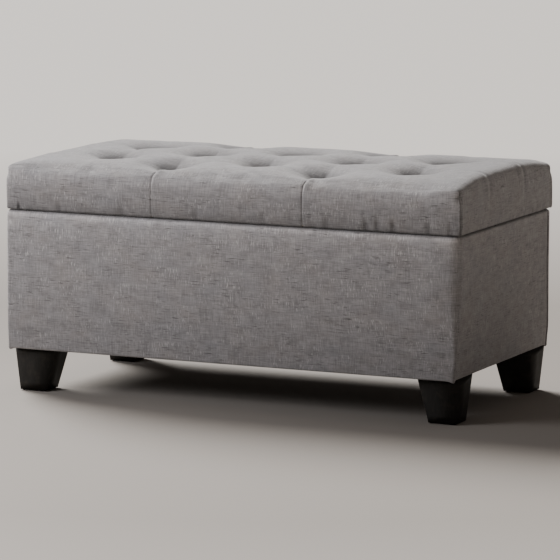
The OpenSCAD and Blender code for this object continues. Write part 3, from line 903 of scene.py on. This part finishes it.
def make_sheet(name, body, across, up, seed, notch=0.0, inward=1):
    """A stretched lining where its CAD solid lies: across and up are the axes of its face."""
    low, high = (np.array(c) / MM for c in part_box(name))
    through = 3 - across - up
    us, vs = (
        np.linspace(low[way], high[way], max(3, round((high[way] - low[way]) / SHEET_STEP)))
        for way in (across, up)
    )
    u, v = np.meshgrid(us, vs)
    points = np.zeros(u.shape + (3,))
    points[..., across], points[..., up] = u, v
    edge = np.minimum.reduce([u - us[0], us[-1] - u, v - vs[0], vs[-1] - v])
    ripple = waves(points.reshape(-1, 3), seed, 160.0).reshape(u.shape)
    middle = (low + high) / 2
    points[..., through] = middle[through] + RIPPLE * ripple * ramp(edge, 0, 25)
    points[..., 1] -= MID_Y
    work = Patchwork()
    work.add(points, np.stack([u, v], -1), flip=inward < 0)
    if notch:
        corners = work.points[0][work.faces[0]].mean(1) + (0, MID_Y, 0)
        gap = (high - low) / 2 - np.abs(corners - middle)
        work.faces[0] = work.faces[0][(gap[:, across] > notch) | (gap[:, up] > notch)]
    work.weld()
    sheet = work.build(name + "_cloth")
    thicken(sheet, SHEET_T, offset=0)
    finish_piece(sheet, "lining_cloth", body, [name])
    wide, tall = (us[-1] - us[0]) * MM, (vs[-1] - vs[0]) * MM
    return sheet, (wide, tall)


def make_linings():
    walls = (
        ("front_lining", 0, 1, 1),
        ("back_lining", 0, -1, 2),
        ("left_lining", 1, 1, 3),
        ("right_lining", 1, -1, 4),
    )
    for name, across, inward, seed in walls:
        sheet, flat = make_sheet(name, "box", across, 2, seed, inward=inward)
    sheet, flat = make_sheet("floor_lining", "box", 0, 1, 5, notch=POST_NOTCH)
    sheet, flat = make_sheet("dust_cover", "box", 0, 1, 6, inward=-1)
    sheet, flat = make_sheet("lid_lining", "lid", 0, 1, 7, inward=-1)


# ---------------------------------------------------------------- buttons and legs

BUTTON_LOW = 402.6
BUTTON_PROFILE = [
    (0.05, 6.0), (2.5, 5.85), (5.0, 5.3), (7.2, 4.3), (8.8, 3.0),
    (9.6, 1.6), (9.3, 0.7), (8.2, 0.35), (5.0, 0.3), (0.05, 0.3),
]
CRIMPS, CRIMP_SHARE = 13, 0.012


def make_buttons():
    """Cloth-covered domes: a rounded top, a crimped edge and a flat back."""
    rows = np.array(BUTTON_PROFILE)
    turns = np.linspace(0, 2 * math.pi, 33)
    run = run_of(rows)
    work = Patchwork()
    for cx, cy in TUFTS:
        crimp = CRIMP_SHARE * np.cos(CRIMPS * turns)[None, :] * (rows[:, 1] < 3)[:, None]
        r = rows[:, 0][:, None] * (1 + crimp)
        x, y = cx + r * np.cos(turns), cy + r * np.sin(turns)
        x[:, -1], y[:, -1] = x[:, 0], y[:, 0]
        z = np.broadcast_to((BUTTON_LOW + rows[:, 1])[:, None], x.shape)
        across, up = run[:, None] * np.cos(turns), run[:, None] * np.sin(turns)
        uv = np.stack([cx + across, cy + up + BUTTON_CLOTH], -1)
        work.add(np.stack([x, y, z], -1), uv, flip=True)
    work.weld()
    buttons = work.build("tuft_buttons_covered")
    close_holes(buttons)
    finish_piece(buttons, "linen", "lid", ["tuft_buttons"])


LEG_BEVEL = 1.5


def make_leg(name):
    """Tapered block with eased edges, standing where its CAD solid stands."""
    low, high = (np.array(c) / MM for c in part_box(name))
    obj = bpy.data.objects[name]
    co = np.array([v.co for v in obj.data.vertices]) / MM
    foot = co[co[:, 2] < low[2] + 0.5]
    mesh = bmesh.new()
    rings = []
    for t in np.linspace(0, 1, 7):
        z = low[2] + t * (high[2] - low[2])
        box_low = foot.min(0) * (1 - t) + low * t
        box_high = foot.max(0) * (1 - t) + high * t
        (x0, y0), (x1, y1) = box_low[:2], box_high[:2]
        ring = [(x0, y0), (x1, y0), (x1, y1), (x0, y1)]
        rings.append([mesh.verts.new((x * MM, y * MM, z * MM)) for x, y in ring])
    for below, above in zip(rings, rings[1:]):
        for k in range(4):
            mesh.faces.new((below[k], below[(k + 1) % 4], above[(k + 1) % 4], above[k]))
    mesh.faces.new(rings[0][::-1])
    mesh.faces.new(rings[-1])
    mesh.edges.ensure_lookup_table()
    outer = [e for e in mesh.edges if e.calc_face_angle(0) > math.radians(30)]
    bmesh.ops.bevel(mesh, geom=outer, offset=LEG_BEVEL * MM, segments=4, profile=0.5, affect="EDGES")
    bmesh.ops.recalc_face_normals(mesh, faces=mesh.faces)
    data = bpy.data.meshes.new(name + "_painted")
    mesh.to_mesh(data)
    mesh.free()
    leg = bpy.data.objects.new(name + "_painted", data)
    bpy.context.scene.collection.objects.link(leg)
    smooth(leg)
    weighted = leg.modifiers.new("flat faces", "WEIGHTED_NORMAL")
    weighted.weight = 90
    finish_piece(leg, "black_wood", "box", [name])


# ---------------------------------------------------------------- materials

MATERIALS = {}


def new_material(name):
    mat = bpy.data.materials.new(name)
    mat.use_nodes = True
    nt = mat.node_tree
    return mat, nt, nt.nodes["Principled BSDF"]


def node(nt, kind, **values):
    made = nt.nodes.new("ShaderNode" + kind)
    for key, value in values.items():
        setattr(made, key, value)
    return made


def coords(nt, scale, uv="cloth"):
    """Cloth coordinates in metres, or object coordinates, times a scale for each way."""
    if uv:
        source = node(nt, "UVMap", uv_map=uv).outputs["UV"]
    else:
        source = node(nt, "TexCoord").outputs["Object"]
    mapping = node(nt, "Mapping")
    mapping.inputs["Scale"].default_value = scale
    nt.links.new(source, mapping.inputs["Vector"])
    return mapping.outputs["Vector"]


def noise_of(nt, scale, detail=2.0, uv="cloth", rough=0.5, twist=0.0):
    tex = node(nt, "TexNoise")
    tex.inputs["Scale"].default_value = 1.0
    tex.inputs["Detail"].default_value = detail
    tex.inputs["Roughness"].default_value = rough
    tex.inputs["Distortion"].default_value = twist
    nt.links.new(coords(nt, scale, uv), tex.inputs["Vector"])
    return tex.outputs["Fac"]


def remap(nt, value, low, high, to_low=0.0, to_high=1.0):
    made = node(nt, "MapRange")
    made.inputs["From Min"].default_value = low
    made.inputs["From Max"].default_value = high
    made.inputs["To Min"].default_value = to_low
    made.inputs["To Max"].default_value = to_high
    nt.links.new(value, made.inputs["Value"])
    return made.outputs["Result"]


def maths(nt, operation, a, b):
    made = node(nt, "Math", operation=operation)
    for socket, value in zip(made.inputs, (a, b)):
        if isinstance(value, (int, float)):
            socket.default_value = value
        else:
            nt.links.new(value, socket)
    return made.outputs[0]


def mix_colour(nt, fac, a, b):
    made = node(nt, "Mix", data_type="RGBA")
    for socket, value in ((made.inputs["Factor"], fac), (made.inputs[6], a), (made.inputs[7], b)):
        if isinstance(value, (int, float)):
            socket.default_value = value
        elif isinstance(value, tuple):
            socket.default_value = (*value, 1.0)
        else:
            nt.links.new(value, socket)
    return made.outputs[2]


def add_bump(nt, bsdf, height, strength, distance):
    made = node(nt, "Bump")
    made.inputs["Strength"].default_value = strength
    made.inputs["Distance"].default_value = distance
    nt.links.new(height, made.inputs["Height"])
    nt.links.new(made.outputs["Normal"], bsdf.inputs["Normal"])


def make_linen():
    """Heathered grey cloth: threads, flecks, slubs and blotches, times the painted shade and highlight
    stored in the mesh.
    """
    mat, nt, bsdf = new_material("grey_linen_weave")
    warp = noise_of(nt, (640, 30, 1), 3, rough=0.6)
    weft = noise_of(nt, (34, 620, 1), 3, rough=0.6)
    threads = maths(nt, "ADD", warp, weft)
    colour = mix_colour(nt, remap(nt, threads, 0.72, 1.28), (0.190, 0.182, 0.183), (0.372, 0.355, 0.357))
    tint = noise_of(nt, (14, 20, 1), 3, rough=0.6)
    colour = mix_colour(nt, remap(nt, tint, 0.50, 0.70, 0.0, 0.35), colour, (0.25, 0.252, 0.268))
    colour = mix_colour(nt, remap(nt, tint, 0.48, 0.32, 0.0, 0.35), colour, (0.31, 0.278, 0.262))
    blotch = noise_of(nt, (34, 62, 1), 4, rough=0.65, twist=0.4)
    colour = mix_colour(nt, remap(nt, blotch, 0.50, 0.70, 0.0, 0.42), colour, (0.160, 0.150, 0.150))
    colour = mix_colour(nt, remap(nt, blotch, 0.48, 0.30, 0.0, 0.32), colour, (0.43, 0.412, 0.412))
    fleck = noise_of(nt, (540, 90, 1), 2)
    gather = noise_of(nt, (22, 30, 1), 2)
    gathered = remap(nt, gather, 0.44, 0.60, 0.2, 1.0)
    light = maths(nt, "MULTIPLY", remap(nt, fleck, 0.56, 0.70, 0.0, 0.8), gathered)
    colour = mix_colour(nt, light, colour, (0.54, 0.52, 0.515))
    slub = noise_of(nt, (52, 400, 1), 3, rough=0.55, twist=0.25)
    thick = noise_of(nt, (12, 30, 1), 2)
    thickened = remap(nt, thick, 0.42, 0.58, 0.15, 1.0)
    streak = maths(nt, "MULTIPLY", remap(nt, slub, 0.57, 0.68, 0.0, 0.8), thickened)
    colour = mix_colour(nt, streak, colour, (0.100, 0.093, 0.093))
    # The painted shade and highlight of each point, from lid_shade and body_shade, scale the cloth's
    # colour.
    shade = node(nt, "Attribute", attribute_name="shade")
    shaded = node(nt, "VectorMath", operation="SCALE")
    nt.links.new(colour, shaded.inputs[0])
    nt.links.new(maths(nt, "ADD", shade.outputs["Fac"], 1.0), shaded.inputs["Scale"])
    nt.links.new(shaded.outputs[0], bsdf.inputs["Base Color"])
    bsdf.inputs["Roughness"].default_value = 0.9
    bsdf.inputs["Specular IOR Level"].default_value = 0.22
    bsdf.inputs["Sheen Weight"].default_value = 0.40
    bsdf.inputs["Sheen Roughness"].default_value = 0.45
    bsdf.inputs["Sheen Tint"].default_value = (0.96, 0.94, 0.93, 1)
    height = maths(nt, "ADD", threads, maths(nt, "MULTIPLY", slub, 0.8))
    height = maths(nt, "ADD", height, maths(nt, "MULTIPLY", fleck, 0.8))
    add_bump(nt, bsdf, height, 0.6, 0.0006)
    MATERIALS["linen"] = mat


def make_lining():
    """Black non-woven cloth with the small pressed dots of its bonding."""
    mat, nt, bsdf = new_material("black_nonwoven")
    dots = node(nt, "TexVoronoi", feature="F1")
    dots.inputs["Scale"].default_value = 1.0
    dots.inputs["Randomness"].default_value = 0.12
    nt.links.new(coords(nt, (420, 420, 420)), dots.inputs["Vector"])
    pressed = remap(nt, dots.outputs["Distance"], 0.18, 0.36)
    fibre = noise_of(nt, (900, 900, 1), 4, rough=0.7)
    colour = mix_colour(nt, remap(nt, fibre, 0.35, 0.65), (0.012, 0.012, 0.013), (0.034, 0.034, 0.036))
    colour = mix_colour(nt, pressed, (0.008, 0.008, 0.009), colour)
    nt.links.new(colour, bsdf.inputs["Base Color"])
    bsdf.inputs["Roughness"].default_value = 0.85
    bsdf.inputs["Sheen Weight"].default_value = 0.15
    add_bump(nt, bsdf, maths(nt, "ADD", pressed, fibre), 0.5, 0.0004)
    MATERIALS["lining_cloth"] = mat


def make_wood():
    """Pale plywood: long grain lines, slow figure and small dark pores."""
    mat, nt, bsdf = new_material("birch_plywood")
    grain = noise_of(nt, (9, 9, 260), 5, uv=None, rough=0.6, twist=0.3)
    figure = noise_of(nt, (3, 3, 26), 3, uv=None, twist=0.8)
    pores = noise_of(nt, (60, 60, 1600), 2, uv=None)
    colour = mix_colour(nt, remap(nt, grain, 0.35, 0.66), (0.44, 0.30, 0.17), (0.66, 0.50, 0.32))
    colour = mix_colour(nt, remap(nt, figure, 0.4, 0.62, 0.0, 0.45), colour, (0.55, 0.38, 0.22))
    colour = mix_colour(nt, remap(nt, pores, 0.62, 0.72, 0.0, 0.5), colour, (0.24, 0.15, 0.08))
    nt.links.new(colour, bsdf.inputs["Base Color"])
    nt.links.new(remap(nt, grain, 0.3, 0.7, 0.62, 0.78), bsdf.inputs["Roughness"])
    add_bump(nt, bsdf, maths(nt, "ADD", grain, pores), 0.25, 0.0004)
    MATERIALS["board"] = mat


def make_paint():
    """Black satin paint over wood, with faint grain beneath and a few rubbed edges."""
    mat, nt, bsdf = new_material("black_satin_paint")
    grain = noise_of(nt, (420, 420, 16), 3, uv=None)
    peel = noise_of(nt, (260, 260, 260), 2, uv=None)
    rub = noise_of(nt, (70, 70, 70), 4, uv=None)
    edge = node(nt, "NewGeometry").outputs["Pointiness"]
    worn = maths(nt, "MULTIPLY", remap(nt, edge, 0.52, 0.60), remap(nt, rub, 0.5, 0.7))
    tone = remap(nt, grain, 0.35, 0.65)
    colour = mix_colour(nt, tone, (0.0215, 0.0200, 0.0185), (0.0275, 0.0258, 0.0238))
    colour = mix_colour(nt, maths(nt, "MULTIPLY", worn, 0.5), colour, (0.05, 0.043, 0.035))
    nt.links.new(colour, bsdf.inputs["Base Color"])
    nt.links.new(remap(nt, rub, 0.3, 0.7, 0.50, 0.62), bsdf.inputs["Roughness"])
    bsdf.inputs["Specular IOR Level"].default_value = 0.11
    add_bump(nt, bsdf, maths(nt, "ADD", maths(nt, "MULTIPLY", grain, 0.6), peel), 0.12, 0.0003)
    MATERIALS["black_wood"] = mat


def make_plain(key, name, dark, light, rough, scale, bump_strength, metal=0.0):
    """A finish with fine random tone and surface, for hard or hidden pieces."""
    mat, nt, bsdf = new_material(name)
    tone = noise_of(nt, scale, 4, uv=None)
    nt.links.new(mix_colour(nt, remap(nt, tone, 0.3, 0.7), dark, light), bsdf.inputs["Base Color"])
    bsdf.inputs["Metallic"].default_value = metal
    nt.links.new(remap(nt, tone, 0.3, 0.7, rough - 0.06, rough + 0.06), bsdf.inputs["Roughness"])
    add_bump(nt, bsdf, noise_of(nt, tuple(6 * s for s in scale), 3, uv=None), bump_strength, 0.0004)
    MATERIALS[key] = mat


def make_materials():
    make_linen()
    make_lining()
    make_wood()
    make_paint()
    make_plain("foam", "cream_foam", (0.66, 0.58, 0.38), (0.80, 0.73, 0.54), 0.95, (160, 160, 160), 0.7)
    make_plain("twine", "waxed_twine", (0.42, 0.37, 0.29), (0.62, 0.57, 0.48), 0.8, (400, 400, 400), 0.5)
    black, soft_black = (0.02, 0.02, 0.02), (0.035, 0.035, 0.035)
    make_plain("dark_plastic", "dark_rubber", black, soft_black, 0.6, (80, 80, 80), 0.1)
    zinc, pale_zinc = (0.40, 0.41, 0.43), (0.62, 0.63, 0.65)
    make_plain("steel", "zinc_plated_steel", zinc, pale_zinc, 0.34, (40, 160, 160), 0.08, metal=1.0)


# ---------------------------------------------------------------- build

make_materials()
make_camera()
make_room()
make_lid()
make_body()
make_linings()
make_buttons()
for corner in ("front_left", "front_right", "rear_left", "rear_right"):
    make_leg(corner + "_leg")

slot_of = {s["node"]: s["material_slot"] for s in frame["record"]["subparts"]}
for name, obj in nodes.items():
    key = "linen" if slot_of[name] == "linen_fabric" else slot_of[name]
    obj.data.materials.clear()
    obj.data.materials.append(MATERIALS[key])
